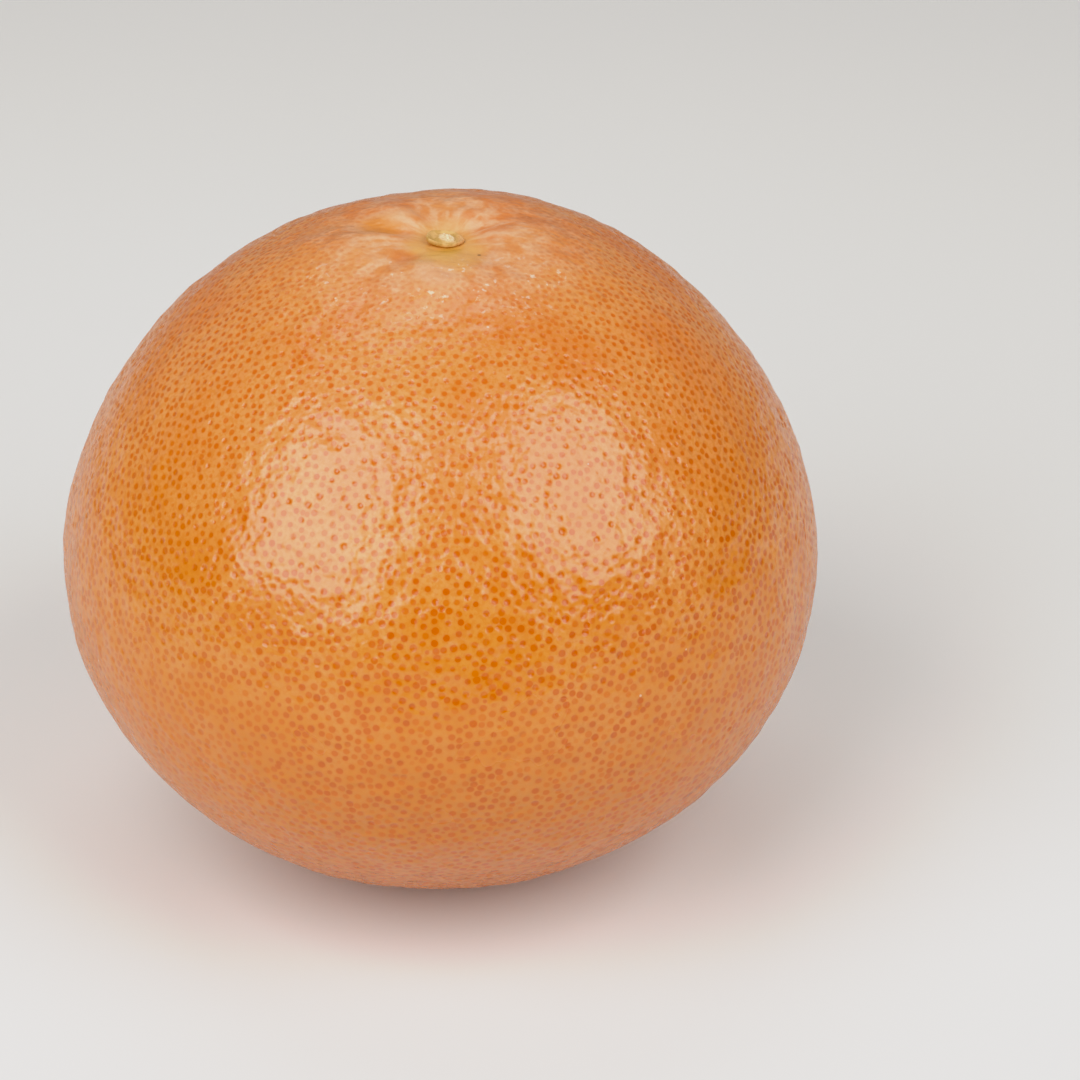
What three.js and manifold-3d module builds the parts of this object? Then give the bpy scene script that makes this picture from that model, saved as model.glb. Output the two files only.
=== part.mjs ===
// A whole grapefruit, as picked, with its stem button still on and its blossom end down.
// Millimetres, +Z up. The origin is the middle of the flat that the fruit rests on, under the
// stem end. +X is the right of a viewer who looks along +Y.

import * as THREE from "three";
import { ConvexHull } from "three/addons/math/ConvexHull.js";
import { mergeVertices } from "three/addons/utils/BufferGeometryUtils.js";
import Module from "manifold-3d";

const wasm = await Module();
wasm.setup();

const { cos, sin, exp, hypot, sqrt, PI } = Math;
const { degToRad, smoothstep } = THREE.MathUtils;

// The fruit's body
const EQUATOR_RADIUS = 56;
const HALF_HEIGHT = 51.7; // before the stem basin and the flat are taken off
const TAPER = 0.052; // narrows the stem half and widens the blossom half
const SHOULDER = 0.054; // draws both ends in
const HEEL = 0.061; // squares the stem end's shoulder and rounds the blossom end
const STEM_LEAN = 0.5; // how far the stem end leans to the right
const SWELLINGS = [
  { count: 2, azimuth: 20, height: 0.35 },
  { count: 4, azimuth: 55, height: 0.2 },
  { count: 6, azimuth: 10, height: 0.1 },
];

// The blossom end, which the fruit rests on
const FLAT_SINK = 0.75; // how much of the round end the flat takes off
const FLAT_RADIUS = 8.9;
const SCAR_RADIUS = 2.4; // the dry spot that the flower's style left
const SCAR_DEPTH = 0.7;

// The stem end: a shallow basin crossed by soft folds that run out from the button. A fold is
// highest, or deepest if its height is under nothing, at its crest's distance from the axis.
const BASIN_DEPTH = 2.8;
const BASIN_REACH = 10;
const STEM_END_LEVEL = 0.6; // the stem end's relief is whole above this level, and ends at level 0
const FOLD_START = 4; // the folds grow over this distance past the button's seat
const FOLDS = [
  { azimuth: 8, spread: 16, crest: 9, height: 0.35 },
  { azimuth: 38, spread: 12, crest: 9, height: -0.3 },
  { azimuth: 68, spread: 20, crest: 9, height: 0.5 },
  { azimuth: 128, spread: 12, crest: 9, height: 0.5 },
  { azimuth: 156, spread: 13, crest: 9, height: -0.55 },
  { azimuth: 186, spread: 13, crest: 9, height: 0.6 },
  { azimuth: 228, spread: 12, crest: 9, height: -0.55 },
  { azimuth: 262, spread: 18, crest: 9, height: 0.35 },
  { azimuth: 318, spread: 15, crest: 9, height: -0.4 },
  { azimuth: 56, spread: 35, crest: 30, height: 0.2 },
  { azimuth: 118, spread: 25, crest: 30, height: -0.2 },
];

// The oil glands' pits, fewer and larger than life: the real ones lie about 1.6 mm apart
const RANDOM_SEED = 20;
const GLAND_COUNT = 1560;
const GLAND_JITTER = 0.54; // share of the spacing
const PIT_DEPTHS = [0.18, 0.3];
const PITS_START = 6; // the skin nearer the button than this is smooth
const PITS_FULL = 20;

// The plain rings of points at both ends, from the axis outwards
const STEM_RINGS = [2.1, 3.45, 4.8];
const BLOSSOM_RINGS = [2.1, 3, 5.6, 8.75];
const RING_SPACING = 2.2;
const LEAST_RING_POINTS = 12;
const STEM_RINGS_REACH = 5.9; // glands start past this distance from the axis
const BLOSSOM_RINGS_REACH = 10.5;

// The stem button: the dried calyx, with the pale scar where the stem broke off
const BUTTON_RADIUS = 2.85;
const BUTTON_THICKNESS = 0.85;
const BUTTON_OVAL = 0.84; // depth as a share of width
const BUTTON_TILT = 5; // degrees, its right side down
const BUTTON_GAP = 0.3; // between the button and the skin
const BUTTON_SIDES = 40;
const CALYX_TEETH = 5;
const TOOTH_LENGTH = 0.045; // share of the radius
const SCAR_ROUGHNESS = 0.07;
const PEG_RADIUS = 1.2;
const PEG_LENGTH = 2.4;
const PEG_CHAMFER = 0.25;
const PEG_HOLE_SIDES = 24;
const SEAT_RADIUS = 3.5; // the level skin under the button

const CENTRE_HEIGHT = HALF_HEIGHT - FLAT_SINK;
const SEAT_HEIGHT = CENTRE_HEIGHT + HALF_HEIGHT - BASIN_DEPTH;

// A seeded generator of numbers from 0 to 1, the same at each run.
function seededRandom(seed) {
  let state = seed;
  return () => {
    state = (state + 0x6d2b79f5) | 0;
    let mixed = Math.imul(state ^ (state >>> 15), 1 | state);
    mixed = (mixed + Math.imul(mixed ^ (mixed >>> 7), 61 | mixed)) ^ mixed;
    return ((mixed ^ (mixed >>> 14)) >>> 0) / 2 ** 32;
  };
}

// The body's half width at a level, which runs from -1 at the blossom end to 1 at the stem end.
function halfWidth(level) {
  const round = sqrt(Math.max(0, 1 - level * level));
  return EQUATOR_RADIUS * round * (1 - TAPER * level - SHOULDER * level ** 2 + HEEL * level ** 3);
}

// Wide, low swellings round the body, so that it isn't a body of revolution.
function swellingHeight(azimuth, level) {
  const waves = SWELLINGS.map(
    (swelling) => swelling.height * cos(swelling.count * (azimuth - degToRad(swelling.azimuth))),
  );
  return waves.reduce((sum, wave) => sum + wave, 0) * (1 - level * level);
}

// The folds' height: a bell over the azimuth, times a reach that is 1 at the crest's distance.
function foldHeight(across, azimuth) {
  return FOLDS.reduce((sum, fold) => {
    const turn = azimuth - degToRad(fold.azimuth);
    const apart = Math.atan2(sin(turn), cos(turn)) / degToRad(fold.spread);
    const share = across / fold.crest;
    return sum + fold.height * exp(-apart * apart) * (share * exp(1 - share)) ** 2;
  }, 0);
}

// What the stem end adds to the body's height: the basin, and the folds outside the button's seat.
function stemEndHeight(across, azimuth, level) {
  const outside = smoothstep(across, SEAT_RADIUS, SEAT_RADIUS + FOLD_START);
  const basin = BASIN_DEPTH * exp(-((across / BASIN_REACH) ** 2));
  return (foldHeight(across, azimuth) * outside - basin) * smoothstep(level, 0, STEM_END_LEVEL);
}

// The skin's point in a unit direction from the body's middle, pressed in by a pit's depth.
function skinPoint(direction, pit = 0) {
  const level = direction.z;
  const across = halfWidth(level);
  const azimuth = Math.atan2(direction.y, direction.x);
  const height = swellingHeight(azimuth, level) + stemEndHeight(across, azimuth, level) - pit;
  const normal = new THREE.Vector3(direction.x, direction.y, (level * EQUATOR_RADIUS) / HALF_HEIGHT);
  const point = new THREE.Vector3(
    across * cos(azimuth) + STEM_LEAN * Math.max(level, 0) ** 4,
    across * sin(azimuth),
    CENTRE_HEIGHT + HALF_HEIGHT * level,
  ).addScaledVector(normal.normalize(), height);
  if (level > 0) {
    if (across < SEAT_RADIUS) point.z = SEAT_HEIGHT;
  } else {
    point.z = across < SCAR_RADIUS ? SCAR_DEPTH : Math.max(point.z, 0);
  }
  return point;
}

// The unit direction whose skin lies at this distance from the axis, by halving the level's range.
function directionAt(across, azimuth, side) {
  let low = 0;
  let high = 1;
  while (high - low > 1e-9) {
    const middle = (low + high) / 2;
    if (halfWidth(side * middle) > across) low = middle;
    else high = middle;
  }
  const round = sqrt(1 - low * low);
  return new THREE.Vector3(round * cos(azimuth), round * sin(azimuth), side * low);
}

// The end's own point and even rings of directions round it, each ring turned half a step.
function endRings(radii, side) {
  const rings = radii.map((across, ring) => {
    const count = Math.max(LEAST_RING_POINTS, Math.round((2 * PI * across) / RING_SPACING));
    return Array.from({ length: count }, (_, i) =>
      directionAt(across, ((2 * i + ring) * PI) / count, side),
    );
  });
  return [new THREE.Vector3(0, 0, side), ...rings.flat()];
}

// Gland directions on a spiral of even spacing, each moved a little at random.
function glandDirections(random) {
  const spacing = sqrt((4 * PI) / GLAND_COUNT);
  const goldenTurn = PI * (3 - sqrt(5));
  return Array.from({ length: GLAND_COUNT }, (_, i) => {
    const z = 1 - (2 * i + 1) / GLAND_COUNT;
    const round = sqrt(1 - z * z);
    const placed = new THREE.Vector3(round * cos(i * goldenTurn), round * sin(i * goldenTurn), z);
    const nudge = new THREE.Vector3(random() - 0.5, random() - 0.5, random() - 0.5);
    return placed.addScaledVector(nudge, GLAND_JITTER * spacing).normalize();
  });
}

// The fruit: a pit at each gland, a ridge midway between every three, and plain rings at both ends.
function fruitGeometry() {
  const random = seededRandom(RANDOM_SEED);
  const glands = glandDirections(random);
  const ridges = new ConvexHull().setFromPoints(glands).faces.map((face) => face.normal.clone());
  const depths = new Map(glands.map((gland) => [gland, THREE.MathUtils.lerp(...PIT_DEPTHS, random())]));

  const clearOfRings = ({ z }) => halfWidth(z) > (z > 0 ? STEM_RINGS_REACH : BLOSSOM_RINGS_REACH);
  const directions = [
    ...[...glands, ...ridges].filter(clearOfRings),
    ...endRings(STEM_RINGS, 1),
    ...endRings(BLOSSOM_RINGS, -1),
  ];

  const positions = [];
  for (const face of new ConvexHull().setFromPoints(directions).faces) {
    let edge = face.edge;
    do {
      const direction = edge.head().point;
      const shown = direction.z > 0 ? smoothstep(halfWidth(direction.z), PITS_START, PITS_FULL) : 1;
      positions.push(...skinPoint(direction, (depths.get(direction) ?? 0) * shown).toArray());
      edge = edge.next;
    } while (edge !== face.edge);
  }
  return new THREE.BufferGeometry().setAttribute(
    "position",
    new THREE.Float32BufferAttribute(positions, 3),
  );
}

// The button: a peg and a thin dished disc turned about their axis, with a raised scar in the
// middle, then given teeth at the rim and a rough scar.
function buttonGeometry() {
  const rim = BUTTON_RADIUS;
  const under = BUTTON_GAP;
  const top = BUTTON_GAP + BUTTON_THICKNESS;
  const profile = [
    [0, -PEG_LENGTH],
    [PEG_RADIUS - PEG_CHAMFER, -PEG_LENGTH],
    [PEG_RADIUS, PEG_CHAMFER - PEG_LENGTH],
    [PEG_RADIUS, under],
    [0.8 * rim, under],
    [0.95 * rim, under + 0.25],
    [rim, under + 0.5],
    [0.97 * rim, top - 0.05],
    [0.9 * rim, top],
    [0.78 * rim, top - 0.15],
    [0.5 * rim, top - 0.2],
    [0.4 * rim, top + 0.05],
    [0.2 * rim, top + 0.15],
    [0, top + 0.1],
  ].map(([across, height]) => new THREE.Vector2(across, height));
  const lathe = new THREE.LatheGeometry(profile, BUTTON_SIDES).rotateX(PI / 2);
  const position = lathe.attributes.position;
  for (let i = 0; i < position.count; i += 1) {
    const [x, y, z] = [position.getX(i), position.getY(i), position.getZ(i)];
    const azimuth = Math.atan2(y, x);
    const outer = smoothstep(hypot(x, y), PEG_RADIUS, rim);
    const toothed = 1 + TOOTH_LENGTH * outer * cos(CALYX_TEETH * azimuth);
    const oval = 1 - (1 - BUTTON_OVAL) * outer;
    const onTop = smoothstep(z, top - 0.1, top + 0.1);
    const rough = SCAR_ROUGHNESS * sin(7 * azimuth) * hypot(x, y) * onTop;
    position.setXYZ(i, x * toothed, y * toothed * oval, z + rough);
  }
  return lathe;
}

// A closed geometry as a solid that can be joined and cut.
function solidOf(geometry) {
  const bare = new THREE.BufferGeometry().setAttribute("position", geometry.attributes.position);
  if (geometry.index) bare.setIndex(geometry.index);
  const merged = mergeVertices(bare, 1e-3);
  return new wasm.Manifold(
    new wasm.Mesh({
      numProp: 3,
      vertProperties: merged.attributes.position.array,
      triVerts: new Uint32Array(merged.index.array),
    }),
  );
}

// A solid as a geometry that can be drawn.
function geometryOf(solid) {
  const { vertProperties, triVerts } = solid.getMesh();
  const geometry = new THREE.BufferGeometry()
    .setAttribute("position", new THREE.BufferAttribute(vertProperties, 3))
    .setIndex(new THREE.BufferAttribute(triVerts, 1));
  geometry.computeVertexNormals();
  return geometry;
}

// The plain hole in the seat that the button's peg stands in.
function pegHoleGeometry() {
  const radius = PEG_RADIUS + BUTTON_GAP;
  const depth = PEG_LENGTH + BUTTON_GAP;
  return new THREE.CylinderGeometry(radius, radius, 2 * depth, PEG_HOLE_SIDES)
    .rotateX(PI / 2)
    .translate(STEM_LEAN, 0, SEAT_HEIGHT);
}

function fruitMesh() {
  const drilled = solidOf(fruitGeometry()).subtract(solidOf(pegHoleGeometry()));
  const rind = new THREE.MeshStandardMaterial({ color: 0xdb8b3c, roughness: 0.3, metalness: 0 });
  const mesh = new THREE.Mesh(geometryOf(drilled), rind);
  mesh.name = "fruit";
  return mesh;
}

function buttonMesh() {
  const calyx = new THREE.MeshStandardMaterial({ color: 0xb59a55, roughness: 0.8, metalness: 0 });
  const mesh = new THREE.Mesh(geometryOf(solidOf(buttonGeometry())), calyx);
  mesh.position.set(STEM_LEAN, 0, SEAT_HEIGHT);
  mesh.rotation.y = degToRad(BUTTON_TILT);
  mesh.name = "stem_button";
  return mesh;
}

const grapefruit = new THREE.Group();
grapefruit.add(fruitMesh(), buttonMesh());

export default grapefruit;
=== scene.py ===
"""A whole grapefruit on its blossom end, with the dried stem button in the basin on top.

Metres, +Z up. The origin is the middle of the small flat that the fruit rests on, straight under the
stem end, and the camera looks along +Y. The rind is one closed mesh with a cell for each oil gland:
a cell is a fan of triangles round its gland, and the cells meet midway between the glands.
"""

import logging
import math
from dataclasses import dataclass
from enum import Enum
from typing import Any

import bpy
import numpy as np
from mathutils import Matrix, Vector
from mathutils.geometry import delaunay_2d_cdt

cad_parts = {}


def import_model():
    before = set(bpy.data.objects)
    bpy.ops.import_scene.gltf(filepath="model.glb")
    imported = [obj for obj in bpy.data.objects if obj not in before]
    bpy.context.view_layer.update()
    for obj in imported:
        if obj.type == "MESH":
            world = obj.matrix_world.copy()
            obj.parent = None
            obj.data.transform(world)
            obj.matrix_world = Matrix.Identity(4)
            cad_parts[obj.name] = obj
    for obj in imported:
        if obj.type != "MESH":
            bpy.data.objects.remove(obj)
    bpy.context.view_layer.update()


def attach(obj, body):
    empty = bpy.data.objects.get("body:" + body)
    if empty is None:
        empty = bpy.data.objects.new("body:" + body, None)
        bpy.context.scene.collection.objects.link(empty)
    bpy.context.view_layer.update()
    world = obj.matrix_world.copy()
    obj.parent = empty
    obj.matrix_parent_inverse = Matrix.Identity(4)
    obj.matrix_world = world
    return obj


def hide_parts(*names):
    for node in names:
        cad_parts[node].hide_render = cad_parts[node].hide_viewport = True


LOG = logging.getLogger("grapefruit")
MM = 0.001
RANDOM_SEED = 20
NO_LENGTH = 1e-12  # keeps a vector of no length from being divided by nothing
POLE_NUDGE = 1e-15  # gives the poles a direction round the axis
SAME_PLACE = 1e-9  # how close two cells' middles may be drawn before they are one

Array = np.ndarray
Span = tuple[float, float]


def smooth_step(values: Array, low: float, high: float) -> Array:
    """A soft step from 0 to 1.

    Args:
        values: the numbers to judge.
        low: where the step starts.
        high: where it ends.

    Returns:
        Three times the share squared, less twice its cube.
    """
    share = np.clip((values - low) / (high - low), 0.0, 1.0)
    return share * share * (3 - 2 * share)


def between(ends: Span, share: Array) -> Array:
    """The numbers that lie these shares of the way from one end to the other."""
    low, high = ends
    return low + (high - low) * share


def unit(vectors: Array) -> Array:
    """The same vectors with a length of one."""
    return vectors / np.maximum(np.linalg.norm(vectors, axis=-1, keepdims=True), NO_LENGTH)


@dataclass(frozen=True)
class Tint:
    """A colour as a screen shows it, from 0 to 255 in each part."""

    red: int
    green: int
    blue: int

    def linear(self) -> tuple[float, float, float, float]:
        """The colour in linear light, by the standard curve for screens (sRGB).

        Returns:
            Red, green and blue, and an alpha of one.
        """
        parts = [part / 255 for part in (self.red, self.green, self.blue)]
        light = [p / 12.92 if p <= 0.04045 else ((p + 0.055) / 1.055) ** 2.4 for p in parts]
        return (light[0], light[1], light[2], 1.0)


class Signal:
    """A number that varies over a surface. Signs between it and other numbers add Math nodes."""

    def __init__(self, bench: "Bench", socket: bpy.types.NodeSocket) -> None:
        """Wraps a socket of one bench's nodes."""
        self.bench = bench
        self.socket = socket

    def math(self, operation: str, *values: "Signal | float") -> "Signal":
        """The result of one Math node on these values."""
        node = self.bench.node("ShaderNodeMath", {"operation": operation}, dict(enumerate(values)))
        return Signal(self.bench, node.outputs["Value"])

    def __add__(self, other: "Signal | float") -> "Signal":
        """This signal plus another number."""
        return self.math("ADD", self, other)

    def __radd__(self, other: "Signal | float") -> "Signal":
        """Another number plus this signal."""
        return self.math("ADD", other, self)

    def __sub__(self, other: "Signal | float") -> "Signal":
        """This signal less another number."""
        return self.math("SUBTRACT", self, other)

    def __rsub__(self, other: "Signal | float") -> "Signal":
        """Another number less this signal."""
        return self.math("SUBTRACT", other, self)

    def __mul__(self, other: "Signal | float") -> "Signal":
        """This signal times another number."""
        return self.math("MULTIPLY", self, other)

    def __rmul__(self, other: "Signal | float") -> "Signal":
        """Another number times this signal."""
        return self.math("MULTIPLY", other, self)

    def __truediv__(self, other: "Signal | float") -> "Signal":
        """This signal as a share of another number."""
        return self.math("DIVIDE", self, other)

    def root(self) -> "Signal":
        """The square root."""
        return self.math("SQRT", self)

    def stepped(self, low: "Signal | float", high: "Signal | float") -> "Signal":
        """A soft step.

        Args:
            low: where it starts, at 0.
            high: where it ends, at 1.

        Returns:
            The step as a signal.
        """
        settings = {"interpolation_type": "SMOOTHSTEP"}
        sockets = {"Value": self, "From Min": low, "From Max": high}
        node = self.bench.node("ShaderNodeMapRange", settings, sockets)
        return Signal(self.bench, node.outputs["Result"])


class Bench:
    """Where the nodes of one material, or of the world, are put together."""

    def __init__(self, tree: bpy.types.NodeTree) -> None:
        """Starts with an empty tree."""
        self.tree = tree
        self.tree.nodes.clear()

    def node(self, kind: str, settings: dict[str, Any], sockets: dict[Any, Any]) -> bpy.types.Node:
        """Adds any node.

        Args:
            kind: the node's type.
            settings: its own properties, which are set first.
            sockets: its inputs by name or number, each a plain value or what is linked to it.

        Returns:
            The new node.
        """
        node = self.tree.nodes.new(kind)
        for name, value in settings.items():
            setattr(node, name, value)
        for key, value in sockets.items():
            if isinstance(value, Signal):
                value = value.socket
            if isinstance(value, bpy.types.NodeSocket):
                self.tree.links.new(value, node.inputs[key])
            else:
                node.inputs[key].default_value = value
        return node

    def mix(self, share: Signal | float, first: Any, second: Any) -> bpy.types.NodeSocket:
        """A colour between two others. The numbers are those of the Mix node's colour sockets.

        Args:
            share: how much of the second there is.
            first: a Tint or a colour socket.
            second: another.

        Returns:
            The mixed colour's socket.
        """
        colours = [c.linear() if isinstance(c, Tint) else c for c in (first, second)]
        settings = {"data_type": "RGBA", "clamp_factor": True}
        node = self.node("ShaderNodeMix", settings, {0: share, 6: colours[0], 7: colours[1]})
        return node.outputs[2]

    def parts(self, vector: bpy.types.NodeSocket) -> list[Signal]:
        """The three numbers of a vector."""
        node = self.node("ShaderNodeSeparateXYZ", {}, {0: vector})
        return [Signal(self, output) for output in node.outputs]

    def attribute(self, name: str) -> list[Signal]:
        """The three numbers that the mesh holds under this name."""
        node = self.node("ShaderNodeAttribute", {"attribute_name": name}, {})
        return self.parts(node.outputs["Vector"])

    def vector(self, *parts: Signal) -> bpy.types.NodeSocket:
        """A vector of three numbers."""
        return self.node("ShaderNodeCombineXYZ", {}, dict(enumerate(parts))).outputs[0]

    def place(self) -> bpy.types.NodeSocket:
        """The place on the piece, in metres."""
        return self.node("ShaderNodeTexCoord", {}, {}).outputs["Object"]

    def noise(self, size: float, detail: float = 2.0, place: Any = None) -> Signal:
        """Soft noise round 0.5 with patches of about this size, in metres."""
        sockets = {"Vector": place or self.place(), "Scale": 1 / size, "Detail": detail}
        return Signal(self, self.node("ShaderNodeTexNoise", {}, sockets).outputs["Fac"])

    def bump(self, height: Signal, scale: float) -> bpy.types.NodeSocket:
        """The normals of a relief whose height is in units of this scale."""
        sockets = {"Strength": 1.0, "Distance": scale, "Height": height}
        return self.node("ShaderNodeBump", {}, sockets).outputs["Normal"]

    def finish(self, sockets: dict[str, Any]) -> None:
        """Ends a material with a surface shader that has these values and links."""
        shader = self.node("ShaderNodeBsdfPrincipled", {}, sockets)
        self.node("ShaderNodeOutputMaterial", {}, {"Surface": shader.outputs["BSDF"]})


@dataclass(frozen=True)
class Grain:
    """Soft noise: about how wide its patches are, its number of finer layers, and its height."""

    size: float
    layers: int
    height: float = 1.0

    def on(self, bench: Bench) -> Signal:
        """The noise over a piece, round half of its height."""
        return bench.noise(self.size, self.layers) * self.height


@dataclass(frozen=True)
class Veil:
    """A tint over others. It comes in as a number goes, up or down, from its start to its end."""

    start: float
    end: float
    share: float
    tint: Tint

    def over(self, bench: Bench, colour: Any, number: Signal, within: Signal | float = 1.0) -> Any:
        """Lays the tint over a colour.

        Args:
            bench: where the nodes go.
            colour: what is under it, a Tint or a colour socket.
            number: what brings the tint in.
            within: how much of it a wider zone lets through.

        Returns:
            The new colour's socket.
        """
        low, high = sorted((self.start, self.end))
        risen = number.stepped(low, high)
        shown = risen if self.start < self.end else 1 - risen
        return bench.mix(shown * within * self.share, colour, self.tint)


@dataclass(frozen=True)
class Specks:
    """Small spots of a tint at random, on only some of the places that they could take.

    The core is the share of the radius that has the full tint. The cut is how narrow the step is
    between places that are taken and places that are left bare.
    """

    spacing: float
    radius: float
    places_taken: float
    share: float
    tint: Tint
    core: float = 0.5
    cut: float = 0.001

    def over(self, bench: Bench, colour: Any) -> Any:
        """Lays the specks over a colour.

        Args:
            bench: where the nodes go.
            colour: what is under them.

        Returns:
            The new colour's socket.
        """
        sockets = {"Vector": bench.place(), "Scale": 1 / self.spacing}
        places = bench.node("ShaderNodeTexVoronoi", {}, sockets)
        drawn = bench.node("ShaderNodeSeparateColor", {}, {0: places.outputs["Color"]})
        bare = 1 - self.places_taken
        taken = Signal(bench, drawn.outputs[0]).stepped(bare, bare + self.cut)
        radius = self.radius / self.spacing
        near = 1 - Signal(bench, places.outputs["Distance"]).stepped(self.core * radius, radius)
        return bench.mix(near * taken * self.share, colour, self.tint)


def new_material(name: str) -> tuple[bpy.types.Material, Bench]:
    """Makes an empty material.

    Args:
        name: what it is called.

    Returns:
        The material and the bench for its nodes.
    """
    material = bpy.data.materials.new(name)
    material.use_nodes = True
    return material, Bench(material.node_tree)


def mesh_object(name: str, points: Array, faces: Array, material: bpy.types.Material) -> bpy.types.Object:
    """Puts a finished surface into the scene, smooth-shaded.

    Args:
        name: the piece's name.
        points: one row of three for each vertex, in metres.
        faces: one row of vertex numbers for each face, anticlockwise from outside.
        material: what it is made of.

    Returns:
        The new object, at the origin.
    """
    mesh = bpy.data.meshes.new(name)
    mesh.from_pydata(points.tolist(), [], faces.tolist())
    mesh.polygons.foreach_set("use_smooth", np.ones(len(faces), bool))
    mesh.materials.append(material)
    mesh.update()
    piece = bpy.data.objects.new(name, mesh)
    bpy.context.scene.collection.objects.link(piece)
    LOG.info("%s: %d faces", name, len(faces))
    return piece


@dataclass(frozen=True)
class Undulation:
    """A gentle unevenness: waves of about one length that run every way through the fruit."""

    wavelength: float
    height: float
    waves: int = 40
    spread: Span = (0.75, 1.35)

    def heights(self, points: Array, draw: np.random.Generator) -> Array:
        """The sum of the waves, each a cosine of its own heading and phase.

        Args:
            points: one row of three for each point, in metres.
            draw: where the headings, lengths and phases come from.

        Returns:
            The height at each point.
        """
        headings = unit(draw.normal(size=(self.waves, 3)))
        lengths = self.wavelength * draw.uniform(*self.spread, self.waves)
        phases = draw.uniform(0, 2 * math.pi, self.waves)
        turns = points @ (headings * (2 * math.pi / lengths)[:, None]).T + phases
        return self.height * math.sqrt(2 / self.waves) * np.cos(turns).sum(axis=1)


@dataclass(frozen=True)
class Swelling:
    """A wide, low wave round the body: how many crests, where one lies in degrees, and how high."""

    count: int
    azimuth: float
    height: float


@dataclass(frozen=True)
class Fold:
    """A soft ridge that runs out from the stem, or a groove where the height is under nothing."""

    azimuth: float
    spread: float
    crest: float
    height: float


@dataclass(frozen=True)
class Ripple:
    """A cosine round an axis: how many crests it has, how far it is turned, and how high it is."""

    count: int
    turn: float
    height: float

    def heights(self, azimuth: Array) -> Array:
        """The height at each azimuth."""
        return self.height * np.cos(self.count * azimuth + self.turn)


@dataclass(frozen=True)
class Bend:
    """A sway that keeps the creases from running straight out: its count, and its turn per metre."""

    count: int
    turning: float
    size: float


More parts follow.
